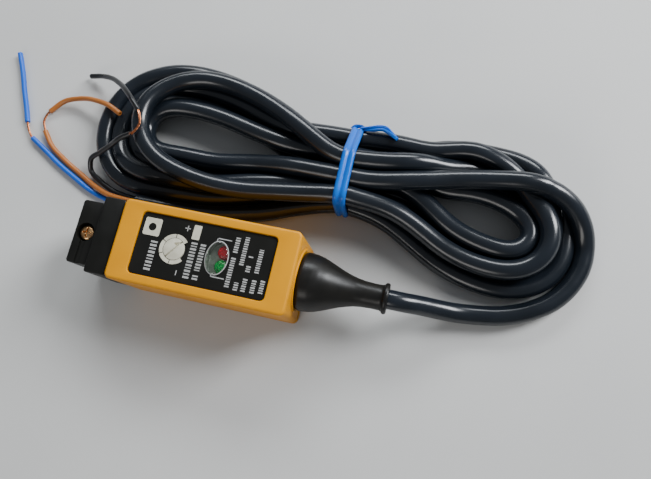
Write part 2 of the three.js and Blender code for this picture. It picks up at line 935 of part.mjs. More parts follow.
place("boot", boot(), rubber);
place("cord_anchor", cordAnchor(), steel);
place("cord_core", cordCore(), cordBlack);
place("lead_brown", innerLead(-1, 0.4), wireColours.brown);
place("lead_blue", innerLead(0, 1.6), wireColours.blue);
place("lead_black", innerLead(1, 0.4), wireColours.black);

place("cord_lead", tube(leadRoute, cordRadius, 10, 14), cordBlack);
place("cord_hank", cordHank(), cordBlack);
place("cord_tail", tube(tailRoute, cordRadius, 10, 6), cordBlack);
place("hank_tie", hankTie(), tieBlue);
for (const [colour, route] of Object.entries(wireRoutes)) {
  place(`wire_${colour}`, tube(route.insulation, wireRadius, 8, 12), wireColours[colour]);
  place(`strands_${colour}`, tube(route.strands, wireRadius / 2, 8, 4), copper);
  place(`sleeve_${colour}`, tube(route.sleeve, wireRadius, 8, 8), wireColours[colour]);
}

export default sensor;
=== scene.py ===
import json
import math

import bpy
import numpy as np
from mathutils import Matrix, Vector


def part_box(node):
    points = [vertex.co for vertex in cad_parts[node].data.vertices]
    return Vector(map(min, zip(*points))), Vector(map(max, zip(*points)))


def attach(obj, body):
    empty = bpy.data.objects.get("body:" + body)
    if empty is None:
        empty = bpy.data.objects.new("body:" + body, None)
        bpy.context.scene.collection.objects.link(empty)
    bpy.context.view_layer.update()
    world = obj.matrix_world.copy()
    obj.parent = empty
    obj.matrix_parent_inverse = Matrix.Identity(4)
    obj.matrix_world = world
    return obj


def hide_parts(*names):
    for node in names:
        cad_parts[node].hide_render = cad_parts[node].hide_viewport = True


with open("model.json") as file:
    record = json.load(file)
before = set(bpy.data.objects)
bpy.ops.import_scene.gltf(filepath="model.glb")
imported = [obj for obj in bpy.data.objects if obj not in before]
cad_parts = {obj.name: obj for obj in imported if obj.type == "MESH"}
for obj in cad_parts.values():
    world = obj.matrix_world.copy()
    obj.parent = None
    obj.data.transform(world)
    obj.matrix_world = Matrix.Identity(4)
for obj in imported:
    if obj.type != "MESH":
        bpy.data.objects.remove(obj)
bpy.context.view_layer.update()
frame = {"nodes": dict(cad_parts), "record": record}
nodes = frame["nodes"]

# Lengths below are in millimetres, in the part's frame: +X towards the cord, +Z up, the base on Z = 0.
MM = 0.001
CORD = 6.0
WIRE = 1.8
TIE_X = 28.6
AXIS_Z = 12.0


def box_of(node):
    """The lowest and highest corner of a CAD node."""
    low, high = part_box(node)
    return np.array(low) / MM, np.array(high) / MM


# ---- Camera

CAMERA_PLACE = Vector((0.05676, -0.02233, 0.18828))
CAMERA_AIM = Vector((0.0246, 0.0165, 0))
CAMERA_ROLL = math.radians(12.94)


def add_camera():
    back = (CAMERA_PLACE - CAMERA_AIM).normalized()
    hint = Vector((-math.sin(CAMERA_ROLL), math.cos(CAMERA_ROLL), 0))
    right = hint.cross(back).normalized()
    up = back.cross(right)
    data = bpy.data.cameras.new("camera")
    data.lens = 32.9
    data.sensor_width = 36
    data.clip_start = 0.01
    camera = bpy.data.objects.new("camera", data)
    bpy.context.scene.collection.objects.link(camera)
    turn_to = Matrix((right, up, back)).transposed().to_4x4()
    camera.matrix_world = Matrix.Translation(CAMERA_PLACE) @ turn_to
    bpy.context.scene.camera = camera


# ---- Lines in space

def distances(points):
    """How far along the line each point is."""
    return np.r_[0, np.cumsum(np.linalg.norm(np.diff(points, axis=0), axis=1))]


def resampled(points, step):
    s = distances(points)
    at = np.linspace(0, s[-1], max(3, int(round(s[-1] / step)) + 1))
    return np.stack([np.interp(at, s, points[:, k]) for k in range(3)], 1)


def spline(points, step):
    """A smooth line through the points, with samples an even step apart."""
    P = np.array(points, float)
    s = distances(P)
    w = np.diff(s)
    ahead = np.diff(P, axis=0) / w[:, None]
    inner = (ahead[:-1] * w[1:, None] + ahead[1:] * w[:-1, None]) / (w[1:] + w[:-1])[:, None]
    slope = np.vstack([ahead[:1], inner, ahead[-1:]])
    u = np.linspace(0, s[-1], int(8 * s[-1] / step) + 1)
    k = np.clip(np.searchsorted(s, u, side="right") - 1, 0, len(w) - 1)
    h = w[k][:, None]
    t = (u[:, None] - s[k][:, None]) / h
    start = (2 * t**3 - 3 * t**2 + 1) * P[k] + (t**3 - 2 * t**2 + t) * h * slope[k]
    end = (3 * t**2 - 2 * t**3) * P[k + 1] + (t**3 - t**2) * h * slope[k + 1]
    return resampled(start + end, step)


def smoothed(points, free, passes):
    for _ in range(passes):
        softer = points.copy()
        softer[1:-1] = 0.25 * points[:-2] + 0.5 * points[1:-1] + 0.25 * points[2:]
        points = np.where(free[:, None] > 0, softer, points)
    return points


# ---- The cord's route: the lead, then the turns of the hank, then the tail

# Where each run of the cord passes through the tie, as (y, z): four below, four in the middle, three on top
IN_TIE = {
    "b1": (28.0, 4.1),
    "b2": (34.1, 4.1),
    "b3": (40.2, 4.1),
    "b4": (46.3, 4.1),
    "m1": (31.2, 9.3),
    "m2": (37.2, 9.3),
    "m3": (43.2, 9.3),
    "m4": (49.2, 8.4),
    "t1": (28.4, 14.5),
    "t2": (34.4, 14.5),
    "t3": (40.4, 14.5),
}

# The outermost turn's outline on each side of the tie, from its near run round to its far run
LEFT_OUTLINE = [
    (14, 25.2), (0, 22), (-15, 20), (-30, 20.2), (-43, 22), (-52, 27), (-57, 35),
    (-57.6, 45), (-53.5, 53.4), (-45, 59), (-33, 61), (-18, 59.4), (-2, 56.4), (12, 52),
]
RIGHT_OUTLINE = [
    (43, 22.6), (52, 19.2), (63, 15.2), (75.1, 12.2), (86.9, 13.1), (95, 18.8), (98.3, 27.4),
    (96.8, 36.6), (90.8, 44.6), (81, 50.4), (69, 53), (58, 52.6), (48, 51), (41, 49.6),
]
# The middle of the eye that the turns leave open on each side
LEFT_EYE = ((-30, 41.4), (-4, 40))
RIGHT_EYE = ((58, 35.5), (77, 32.6))

LEAD_ROUTE = [
    (48.4, 0, 12), (50.6, 0, 11.9), (54, 0.1, 11.1), (58.5, 0.5, 8.8), (63.5, 0.8, 6.2),
    (68.5, 1.1, 4.2), (75.3, 1.9, 3.2), (83, 3.3, 3.1), (90.5, 6.3, 3.1), (96.5, 10.4, 3.1),
    (101, 16.2, 3.1), (103.3, 22.2, 3.2), (103.6, 28, 3.6), (101.6, 34, 6.4), (97.2, 38.6, 10),
    (90.8, 41.6, 12.6), (84.1, 42.4, 14), (76.6, 42.2, 14.5), (69.1, 41.4, 14.6), (57, 39.4, 14.6),
    (45.5, 36.6, 14.5), (38, 35, 14.5),
]
# The turn that lies on top of the others on the left
TOP_TURN = [
    (19.5, 27.7, 14.2), (10, 26.8, 13.4), (-3.1, 25.2, 11.6), (-18.9, 25.4, 9.8), (-30.4, 28.2, 9.4),
    (-39.3, 33.8, 9.4), (-43.4, 40.3, 9.4), (-43.2, 48.6, 9.4), (-38.3, 56.3, 9.4), (-28.9, 60.7, 9.4),
    (-17.7, 60.2, 9.8), (-6, 56.6, 10.8), (6.5, 50.6, 12.4), (16.5, 44.6, 14),
]
TAIL_ROUTE = [
    (18, 26.4, 3.3), (11, 24, 3.1), (2.9, 20.8, 3.1), (-3, 19.2, 3.1), (-10, 17.6, 3.1), (-18, 16.4, 3.1),
    (-27, 15.9, 3.1), (-34.5, 15.8, 3.1), (-41, 15.8, 3.1),
]


def turn(side, near, far, insets, heights):
    """One turn from its near run to its far run: the outline moved in towards the eye, at these heights."""
    outline = np.array(LEFT_OUTLINE if side == "left" else RIGHT_OUTLINE, float)
    a, b = np.array(LEFT_EYE if side == "left" else RIGHT_EYE, float)
    along = np.linspace(0, 1, len(outline))
    inset = np.interp(along, [0.2, 0.5, 0.8], insets)
    z = np.interp(along, [0.08, 0.5, 0.92], heights)
    share = np.clip((outline - a) @ (b - a) / np.dot(b - a, b - a), 0, 1)
    middle = a + share[:, None] * (b - a)
    spoke = outline - middle
    reach = np.linalg.norm(spoke, axis=1)
    x, y = (middle + spoke * ((reach - inset) / reach)[:, None]).T
    for slot, order in ((near, (0, 1)), (far, (-1, -2))):
        slot_y, slot_z = IN_TIE[slot]
        for k, pull_y, pull_z in zip(order, (0.7, 0.3), (0.6, 0.25)):
            y[k] += pull_y * (slot_y - y[k])
            z[k] += pull_z * (slot_z - z[k])
    return np.stack([x, y, z], 1)


def through_tie(slot, direction):
    y, z = IN_TIE[slot]
    return np.array([(TIE_X + direction * dx, y, z) for dx in (-3.5, 0, 3.5)])


def hank_route():
    """The whole cord as drawn. Each turn is (near run, far run, insets, heights)."""
    left, right = [
        ("t2", "m3", (12, 11.5, 8.5), (9.5, 7, 8)),
        ("m2", "b3", (9, 8.5, 5.5), (5, 3, 3)),
        ("b2", "b4", (0, 0, 0), (3, 3, 3)),
        ("m1", "m4", (3, 4.6, 3.2), (6, 5, 7)),
    ], [
        ("m2", "m3", (11, 9.8, 12), (9, 7, 5)),
        ("b2", "b3", (9.5, 7.2, 9.5), (3, 3, 3)),
        ("m1", "b4", (6.5, 4.5, 0), (7, 5, 3)),
        ("t1", "m4", (4, 4, 6), (9, 9, 8)),
    ]
    parts = [LEAD_ROUTE]
    for (near, far, insets, heights), back in zip(left, right):
        parts += [through_tie(near, -1), turn("left", near, far, insets, heights)]
        parts += [through_tie(far, 1), turn("right", *back)[::-1]]
    parts += [through_tie("t1", -1), TOP_TURN, through_tie("t3", 1)]
    parts += [turn("right", "b1", "t3", (0, 0, 9), (3, 3, 9))[::-1]]
    parts += [through_tie("b1", -1), TAIL_ROUTE]
    return np.concatenate([np.array(part, float) for part in parts])


def close_pairs(points, want, skip):
    """Pairs of samples nearer than want to each other but not neighbours along the line."""
    square = (points * points).sum(1)
    apart = square[:, None] + square[None, :] - 2 * points @ points.T
    i, j = np.nonzero(apart < want * want)
    keep = j - i > skip
    return i[keep], j[keep]


def settled(drawn, free, gap, floor, rounds=200, skip=8):
    """The drawn line sinks under its weight and its runs push each other apart where they cross."""
    weight, hold = 0.1, 0.97
    moved = np.zeros_like(drawn)
    for r in range(rounds):
        want = gap * min(1, 0.55 + 0.6 * r / rounds)
        moved[:, :2] *= hold
        moved[:, 2] -= weight * free
        points = drawn + moved
        for _ in range(4):
            i, j = close_pairs(points, want, skip)
            if not len(i):
                break
            d = points[j] - points[i]
            far = np.linalg.norm(d, axis=1) + 1e-9
            push = ((want - far) / far)[:, None] * d
            share = np.maximum(free[i] + free[j], 1e-9)
            step = np.zeros_like(points)
            hits = np.zeros(len(points))
            np.add.at(step, i, -push * (free[i] / share)[:, None])
            np.add.at(step, j, push * (free[j] / share)[:, None])
            np.add.at(hits, i, 1)
            np.add.at(hits, j, 1)
            points = points + step / np.maximum(hits, 1)[:, None]
            points[:, 2] = np.where(free > 0, np.maximum(points[:, 2], floor), points[:, 2])
        passes = 20 if r < 0.9 * rounds else 3
        moved = smoothed(points - drawn, np.ones(len(drawn)), passes) * free[:, None]
        points = drawn + moved
        points[:, 2] = np.where(free > 0, np.maximum(points[:, 2], floor), points[:, 2])
        moved = points - drawn
    return drawn + moved


def cord_line():
    drawn = spline(hank_route(), 2.5)
    s = distances(drawn)
    in_tie = (np.abs(drawn[:, 0] - TIE_X) < 2.6) & (drawn[:, 1] > 20) & (drawn[:, 1] < 56)
    held = in_tie | (s < 95) | (s > s[-1] - 42)
    free = np.where(held, 0.0, 1.0)
    drawn = smoothed(drawn, free, 4)
    return settled(drawn, free, gap=CORD + 0.05, floor=CORD / 2)


# ---- Curves and meshes

def tube(name, line, diameter, sides=7):
    """A round cord along a line of points, as a curve of one open spline."""
    data = bpy.data.curves.new(name, "CURVE")
    data.dimensions = "3D"
    data.bevel_depth = diameter / 2 * MM
    data.bevel_resolution = sides
    data.use_fill_caps = True
    path = data.splines.new("POLY")
    path.points.add(len(line) - 1)
    path.points.foreach_set("co", np.c_[line * MM, np.ones(len(line))].ravel())
    path.use_smooth = True
    shape = bpy.data.objects.new(name, data)
    bpy.context.scene.collection.objects.link(shape)
    return shape


def mesh(name, parts, sharp=35):
    """One object from (points, faces) parts, smooth apart from its sharp edges."""
    points = []
    faces = []
    for part_points, part_faces in parts:
        faces += [[k + len(points) for k in face] for face in part_faces]
        points += [tuple(MM * float(c) for c in p) for p in part_points]
    data = bpy.data.meshes.new(name)
    data.from_pydata(points, [], faces)
    data.update()
    data.shade_smooth()
    data.set_sharp_from_angle(angle=math.radians(sharp))
    shape = bpy.data.objects.new(name, data)
    bpy.context.scene.collection.objects.link(shape)
    return shape


def loft(rings, start=True, end=True):
    """A skin through closed rings of equal count, with flat ends where asked."""
    n = len(rings[0])
    faces = []
    for r in range(len(rings) - 1):
        for k in range(n):
            a = r * n + k
            b = r * n + (k + 1) % n
            faces.append((a, b, b + n, a + n))
    if start:
        faces.append(tuple(range(n))[::-1])
    if end:
        faces.append(tuple(range((len(rings) - 1) * n, len(rings) * n)))
    return np.concatenate(rings), faces


def directions(line):
    """The direction of a line at each point, and two directions across it that don't twist."""
    ahead = np.gradient(line, axis=0)
    ahead /= np.linalg.norm(ahead, axis=1)[:, None]
    first = np.cross(ahead[0], (0, 0, 1) if abs(ahead[0][2]) < 0.9 else (1, 0, 0))
    across = [first / np.linalg.norm(first)]
    for direction in ahead[1:]:
        side = across[-1] - direction * np.dot(across[-1], direction)
        across.append(side / np.linalg.norm(side))
    across = np.array(across)
    return ahead, across, np.cross(ahead, across)


def turned_along(line, profile, sides=24):
    """A round solid along a line, from (distance, radius) pairs."""
    s = distances(line)
    ahead, across, other = directions(line)
    angles = np.linspace(0, 2 * math.pi, sides, endpoint=False)
    rings = []

    def sampled(rows, at):
        return np.array([np.interp(at, s, rows[:, k]) for k in range(3)])

    for at, radius in profile:
        at = min(max(at, 0), s[-1])
        middle, u, v = [sampled(rows, at) for rows in (line, across, other)]
        rings.append(middle + radius * (np.cos(angles)[:, None] * u + np.sin(angles)[:, None] * v))
    return loft(rings)


def rounded_rectangle(x, y, radius, z, steps=8):
    ring = []
    corners = ((x[1], y[1], 0), (x[0], y[1], 90), (x[0], y[0], 180), (x[1], y[0], 270))
    for cx, cy, start in corners:
        cx -= math.copysign(radius, cx - sum(x) / 2)
        cy -= math.copysign(radius, cy - sum(y) / 2)
        for a in np.radians(np.linspace(start, start + 90, steps + 1)):
            ring.append((cx + radius * math.cos(a), cy + radius * math.sin(a), z))
    return np.array(ring)


def inset_rectangle(x, y, radius, inset, z):
    return rounded_rectangle(
        (x[0] + inset, x[1] - inset), (y[0] + inset, y[1] - inset), max(radius - inset, 0.05), z
    )


def edge_steps(radius, steps=5):
    """(inset, drop) pairs round a quarter circle, from the side up to the top."""
    angles = np.linspace(0, math.pi / 2, steps + 1)
    return [(radius * (1 - math.cos(a)), radius * (1 - math.sin(a))) for a in angles]


# ---- Finishes

def shader(name):
    material = bpy.data.materials.new(name)
    material.use_nodes = True
    tree = material.node_tree
    return material, tree, tree.nodes["Principled BSDF"]


def noise(tree, scale, detail):
    """Noise in the piece's own frame, scale in marks per metre."""
    place = tree.nodes.new("ShaderNodeTexCoord")
    texture = tree.nodes.new("ShaderNodeTexNoise")
    texture.inputs["Scale"].default_value = scale
    texture.inputs["Detail"].default_value = detail
    tree.links.new(place.outputs["Object"], texture.inputs["Vector"])
    return texture.outputs["Fac"]


def ranged(tree, value, low, high, start=0.3, end=0.7):
    """The value stretched from start..end to low..high."""
    node = tree.nodes.new("ShaderNodeMapRange")
    node.inputs["From Min"].default_value = start
    node.inputs["From Max"].default_value = end
    node.inputs["To Min"].default_value = low
    node.inputs["To Max"].default_value = high
    tree.links.new(value, node.inputs["Value"])
    return node.outputs["Result"]


def blended(tree, share, first, second):
    """A colour between two colours or colour outputs."""
    node = tree.nodes.new("ShaderNodeMix")
    node.data_type = "RGBA"
    tree.links.new(share, node.inputs["Factor"])
    for socket, value in ((node.inputs["A"], first), (node.inputs["B"], second)):
        if isinstance(value, tuple):
            socket.default_value = (*value, 1)
        else:
            tree.links.new(value, socket)
    return node.outputs["Result"]


def bumped(tree, bsdf, height, depth):
    """Relief on the surface, depth in millimetres."""
    node = tree.nodes.new("ShaderNodeBump")
    node.inputs["Strength"].default_value = 1
    node.inputs["Distance"].default_value = depth * MM
    tree.links.new(height, node.inputs["Height"])
    tree.links.new(node.outputs["Normal"], bsdf.inputs["Normal"])


def finish(name, colour, second, rough=(0.3, 0.4), metal=0.0, grain=2500, depth=0.004, patch=70, **fixed):
    """A finish with patches of two close colours and of a range of gloss, and a fine grain."""
    material, tree, bsdf = shader(name)
    patches = noise(tree, patch, 4)
    colours = blended(tree, ranged(tree, patches, 0, 1), colour, second)
    tree.links.new(colours, bsdf.inputs["Base Color"])
    tree.links.new(ranged(tree, noise(tree, patch * 2.3, 5), *rough), bsdf.inputs["Roughness"])
    bumped(tree, bsdf, noise(tree, grain, 2), depth)
    bsdf.inputs["Metallic"].default_value = metal
    for socket, value in fixed.items():
        bsdf.inputs[socket.replace("_", " ")].default_value = value
    return material


def make_finishes():
    """One finish for each material slot of the record, and the label's ink."""
    clear = finish("clear", (0.9, 0.93, 0.9), (0.84, 0.88, 0.85), (0.04, 0.1), depth=0.002)
    clear.node_tree.nodes["Principled BSDF"].inputs["Transmission Weight"].default_value = 1
    clear.node_tree.nodes["Principled BSDF"].inputs["IOR"].default_value = 1.47
    return {
        "yellow_plastic": finish(
            "yellow", (0.66, 0.275, 0.0), (0.58, 0.235, 0.0), (0.36, 0.48), depth=0.006,
            Specular_IOR_Level=0.2,
        ),
        "black_plastic": finish(
            "black_plastic", (0.003, 0.003, 0.002), (0.006, 0.006, 0.005), (0.4, 0.52),
            Specular_IOR_Level=0.3,
        ),
        "label_black": finish(
            "label_black", (0.006, 0.006, 0.005), (0.01, 0.01, 0.009), (0.45, 0.55),
            Specular_IOR_Level=0.15,
        ),
        "ivory_plastic": finish("ivory", (0.6, 0.58, 0.47), (0.48, 0.46, 0.36), (0.4, 0.5), patch=400),
        "clear_plastic": clear,
        "red_lens": finish("red_lens", (0.6, 0.01, 0.02), (0.5, 0.008, 0.016), (0.12, 0.2)),
        "green_lens": finish("green_lens", (0.0, 0.42, 0.06), (0.0, 0.35, 0.05), (0.12, 0.2)),
        "board_green": finish("board", (0.01, 0.12, 0.035), (0.012, 0.15, 0.045), (0.3, 0.45)),
        "chip_black": finish("chip", (0.015, 0.015, 0.016), (0.022, 0.022, 0.024), (0.4, 0.5)),
        "steel": finish("steel", (0.55, 0.55, 0.56), (0.47, 0.47, 0.49), (0.25, 0.4), 1),
        "brass": finish("brass", (0.72, 0.46, 0.22), (0.55, 0.3, 0.14), (0.24, 0.4), 1, patch=500),
        "rubber_black": finish(
            "rubber", (0.005, 0.005, 0.005), (0.012, 0.011, 0.009), (0.3, 0.42), patch=110,
            Specular_IOR_Level=0.28,
        ),
        "cord_pvc": finish("cord", (0.006, 0.0085, 0.012), (0.01, 0.0135, 0.019), (0.2, 0.27), depth=0.003),
        "tie_blue": finish(
            "tie", (0.0, 0.11, 0.55), (0.0, 0.13, 0.6), (0.18, 0.26), Specular_IOR_Level=0.3
        ),
        "wire_blue": finish("wire_blue", (0.0, 0.085, 0.5), (0.0, 0.105, 0.55), (0.3, 0.4)),
        "wire_brown": finish("wire_brown", (0.36, 0.115, 0.018), (0.42, 0.14, 0.024), (0.3, 0.42)),
        "wire_black": finish("wire_black", (0.006, 0.006, 0.007), (0.01, 0.01, 0.011), (0.26, 0.38)),
        "copper": finish("copper", (0.66, 0.26, 0.12), (0.5, 0.18, 0.08), (0.22, 0.35), 1, patch=900),
        "ink": finish("ink", (0.4, 0.4, 0.39), (0.3, 0.3, 0.29), (0.4, 0.5)),
        "trimmer_blue": finish("trimmer", (0.02, 0.1, 0.4), (0.025, 0.12, 0.46), (0.35, 0.45)),
    }


# ---- The cord and its tie

def add_piece(shape, body, slot, *replaced):
    """The shape rides on the body, takes the slot's finish and stands for the CAD nodes it replaces."""
    shape.data.materials.append(finishes[slot])
    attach(shape, body)
    if replaced:
        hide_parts(*replaced)
    return shape


def hull(points):
    """The convex outline round points in a plane, anticlockwise."""
    ordered = sorted(map(tuple, points))

    def half(row):
        kept = []
        for p in row:
            while len(kept) > 1 and (
                (kept[-1][0] - kept[-2][0]) * (p[1] - kept[-2][1])
                <= (kept[-1][1] - kept[-2][1]) * (p[0] - kept[-2][0])
            ):
                kept.pop()
            kept.append(p)
        return kept[:-1]

    return np.array(half(ordered) + half(ordered[::-1]))


def banded(line, across, outward, section):
    """A strip along a line: each section point is (across the strip, above the line)."""
    rings = []
    for side, high in section:
        rings.append(line + side * across + high * outward)
    return np.stack(rings, 1)


# Two rounded ribs with a groove between them, for a strip 4 mm wide, and its flat back
TIE_SECTION = [
    (-2, 0.02), (-2, 0.4), (-1.8, 0.72), (-1.4, 0.95), (-1, 0.98), (-0.55, 0.82), (-0.22, 0.5), (0, 0.42),
    (0.22, 0.5), (0.55, 0.82), (1, 0.98), (1.4, 0.95), (1.8, 0.72), (2, 0.4), (2, 0.02),
]


def tie_band():
    """The strip drawn tight round the runs of cord in the tie."""
    angles = np.linspace(0, 2 * math.pi, 48, endpoint=False)
    edge = CORD / 2 + 0.05
    rounds = [
        (y + edge * math.cos(a), z + edge * math.sin(a))
        for y, z in IN_TIE.values()
        for a in angles
    ]
    outline = hull(rounds)
    outline = np.c_[np.full(len(outline) + 1, TIE_X), np.vstack([outline, outline[:1]])]
    line = resampled(outline, 0.5)[:-1]
    for _ in range(4):
        line = 0.25 * np.roll(line, 1, 0) + 0.5 * line + 0.25 * np.roll(line, -1, 0)
    ahead = np.roll(line, -1, 0) - np.roll(line, 1, 0)
    ahead /= np.linalg.norm(ahead, axis=1)[:, None]
    outward = np.stack([np.zeros(len(line)), ahead[:, 2], -ahead[:, 1]], 1)
    strip = banded(line, np.array([1, 0, 0]), outward, TIE_SECTION)
    rings = list(strip) + [strip[0]]
    return loft(rings, False, False)


def tie_strip(route, widths, turns=()):
    """A loose length of the strip; turns gives its twist in degrees along it."""
    line = spline(route, 0.6)
    ahead, across, other = directions(line)
    share = np.linspace(0, 1, len(line))
    twist = np.radians(np.interp(share, np.linspace(0, 1, len(turns)), turns))[:, None]
    side = np.cos(twist) * across + np.sin(twist) * other
    out = np.cross(side, ahead)
    width = np.interp(share, np.linspace(0, 1, len(widths)), widths)[:, None]
    rings = [line + x / 2 * width * side + (z - 0.5) * out for x, z in TIE_SECTION]
    return loft(list(np.stack(rings, 1)))


# The strip's end: it leaves the knot at the far side and folds back down
TIE_END = [
    (29.6, 52.2, 10.6), (31.4, 51.9, 11.8), (33.6, 52.1, 12.6), (35.6, 52.5, 13), (37.4, 52.5, 13),
    (38.8, 51.9, 12.7), (40.2, 51, 12.5), (41.8, 49.8, 12.7),
]
TIE_KNOT = [(26.6, 52.2, 9), (27.2, 53, 9.3), (28.7, 53.3, 9.6), (30.3, 52.9, 10), (31, 51.9, 10.4)]


def hank_tie():
    knot = tie_strip(TIE_KNOT, (0.7, 0.8, 0.7), (80, 90, 80))
    end = tie_strip(TIE_END, (0.5, 0.75, 1, 1, 1, 0.75, 0.5), (70, 40, 12, 0, 0, -35, -60))
    return mesh("tie", [tie_band(), knot, end], sharp=50)


def add_cord():
    tie = add_piece(hank_tie(), "body", "tie_blue", "hank_tie")
    line = spline(cord_line(), 1.2)
    cord = add_piece(tube("cord", line, CORD), "body", "cord_pvc", "cord_lead", "cord_hank", "cord_tail")


# The three wires: insulation from the cord's end, the bare strands, and the loose sleeve at the far end
WIRE_ROUTES = {
    "blue": {
        "insulation": [
            (-41.3, 14.9, 2.2), (-46, 14.9, 1.6), (-53.4, 15.3, 1.1), (-60.5, 17.3, 1),
            (-67.6, 20.6, 1), (-74.8, 24.2, 1), (-82.3, 28.6, 1), (-88.5, 32.2, 1),
        ],
        "strands": [(-88.8, 32.4, 1), (-90.9, 34.6, 1), (-92.5, 37.4, 1)],
        "sleeve": [(-92.7, 37.8, 1), (-95.2, 43.4, 1), (-98.4, 49.8, 1), (-101.2, 56, 1), (-105.4, 64, 1)],
    },
    "brown": {
        "insulation": [
            (-41.3, 15.6, 4.3), (-46, 15.8, 4.1), (-52.5, 16.6, 3.3), (-58.5, 18.7, 2),
            (-65, 21.9, 1), (-74, 26.6, 1), (-80.4, 30.8, 1), (-84.6, 35.6, 1),
        ],
        "strands": [(-84.8, 36, 1), (-86.4, 39.2, 1), (-85.6, 42.8, 1.1)],
        "sleeve": [
            (-85.3, 43.2, 1.1), (-80.6, 47.6, 1.9), (-74.3, 49.2, 3.2), (-64.4, 48.2, 6.4),
            (-60.4, 47.2, 7.3), (-54.6, 44.6, 7.4),
        ],
    },
    "black": {
        "insulation": [
            (-41.3, 17, 2.4), (-45.5, 17.4, 2), (-51.6, 18.5, 1.4), (-57.6, 21.1, 1.2), (-61.8, 24, 2),
            (-61.6, 27.3, 4.6), (-57.2, 29.6, 7.6), (-52, 31.8, 11.2), (-47.4, 33.6, 14.8),
            (-43.4, 35.2, 16.2),
        ],
        "strands": [(-43, 35.6, 16.2), (-41.5, 39.2, 16.3), (-43.1, 43.3, 16.2)],
        "sleeve": [
            (-43.3, 43.7, 16.2), (-46.3, 46.6, 15.9), (-50.6, 50.3, 13.9), (-56.1, 54.2, 10.4),
            (-61.8, 57.2, 7.1), (-67.8, 58.8, 4), (-73.6, 59.1, 1.7),
        ],
    },
}


def wire_strands(line, count=7):
    """Fine strands laid round each other along the line."""
    strand_radius, lay_length = 0.14, 7
    s = distances(line)
    across, other = directions(line)[1:]
    parts = []
    for k in range(count):
        angle = (2 * math.pi * (k / (count - 1) + s / lay_length))[:, None]
        reach = 0 if k == 0 else 0.27
        strand = line + reach * (np.cos(angle) * across + np.sin(angle) * other)
        places = np.linspace(0, distances(strand)[-1], 24)
        parts.append(turned_along(strand, [(at, strand_radius) for at in places], 8))
    return parts


def loose_sleeve(line):
    """A length of insulation with its open ends showing."""
    s = distances(line)[-1]
    radius, bore, rim = WIRE / 2, 0.42, WIRE / 2 - 0.1
    middle = [(at, radius) for at in np.linspace(0.15, s - 0.15, 60)]
    start = [(1.5, bore), (0, bore), (0, rim)]
    end = [(s, rim), (s, bore), (s - 1.5, bore)]
    return turned_along(line, start + middle + end)


def add_wire(colour, routes):
    line = spline(routes["insulation"], 0.6)
    strands = spline([routes["insulation"][-1], *routes["strands"], routes["sleeve"][0]], 0.3)
    sleeve = spline(routes["sleeve"], 0.6)
    slot = f"wire_{colour}"
    bare = mesh(f"bare_{colour}", wire_strands(strands))
    add_piece(bare, "body", "copper", f"strands_{colour}")
    loose = add_piece(mesh(f"slug_{colour}", [loose_sleeve(sleeve)]), "body", slot, f"sleeve_{colour}")
    wire = add_piece(tube(f"core_{colour}", line, WIRE), "body", slot, f"wire_{colour}")


# ---- The housing and what shows on it

def add_housing():
    """A shell open below, with a sunk field in its top."""
    low, high = box_of("housing")
    x, y = (low[0], high[0]), (low[1], high[1])
    wall, corner, edge, top = 1.6, 1.8, 0.9, high[2]
    field_x, field_y, field_corner, field_floor, lip = (-27.3, 15.3), (-9.6, 9.6), 1.5, 22.9, 0.3
    rings = [
        inset_rectangle(x, y, corner, wall, top - 2.4),
        inset_rectangle(x, y, corner, wall, low[2]),
        inset_rectangle(x, y, corner, 0.15, low[2]),
        inset_rectangle(x, y, corner, 0, low[2] + 0.15),
    ]
    rings += [inset_rectangle(x, y, corner, inset, top - drop) for inset, drop in edge_steps(edge, 8)]
    for a in np.linspace(0, math.pi / 2, 5):
        out = lip * (1 - math.sin(a))
        height = top - lip * (1 - math.cos(a))
        rings.append(inset_rectangle(field_x, field_y, field_corner, -out, height))
    rings.append(inset_rectangle(field_x, field_y, field_corner, 0, field_floor))
    rings.append(inset_rectangle(field_x, field_y, field_corner, 1.2, field_floor))
    rings.append(inset_rectangle(field_x, field_y, field_corner, 1.2, top - 2.4))
    rings.append(rings[0])
    collar = turned_along(
        np.array([(high[0] - 0.2, 0, AXIS_Z), (high[0] + 2, 0, AXIS_Z)]),
        [(0, 9.1), (0, 9.9), (0.45, 9.9), (0.6, 9.75), (0.6, 9.3), (0.45, 9.1)],
        72,
    )
    shell = mesh("shell", [loft(rings, False, False), collar], 50)
    add_piece(shell, "body", "yellow_plastic", "housing")


def add_boot():
    low, high = box_of("boot")
    outside = 22.3
    curve = [
        (0, 8.4), (0.25, 8.75), (0.9, 8.98), (2, 8.98), (3.8, 8.8), (5.6, 8.38), (7.8, 7.6),
        (10.1, 6.62), (12.6, 5.62), (15, 4.82), (17, 4.3), (19.2, 3.98), (22, 3.82), (24.6, 3.84),
        (25.15, 4.1), (25.45, 4.55), (25.8, 4.7), (26.3, 4.68), (26.6, 4.5), (26.7, 4.2),
        (26.7, 3.3), (24, 3.2),
    ]
    profile = [(outside + s - low[0], r) for s, r in curve]
    seat = [(0.1, 3.4), (0.1, 6.4), (1.6, 6.4), (1.6, 5), (outside - low[0], 5)]
    line = np.array([(low[0], 0, AXIS_Z), (high[0] + 1, 0, AXIS_Z)])
    fine = [seat[0], *seat]
    for (s0, r0), (s1, r1) in zip(profile, profile[1:]):
        fine += [(s0 + (s1 - s0) * k / 3, r0 + (r1 - r0) * k / 3) for k in range(3)]
    fine.append(profile[-1])
    add_piece(mesh("bend_relief", [turned_along(line, fine, 72)], 40), "body", "rubber_black", "boot")


# ---- The label's print: plain bars where the real one has words

LABEL_TOP = 23.4
INK = 0.03
ADJUSTER = (-15, 0)


def printed(outline):
    """A flat printed shape: an outline in plan, just proud of the label."""
    base = np.array([(x, y, LABEL_TOP - 0.02) for x, y in outline])
    return loft([base, base + (0, 0, INK + 0.02)])


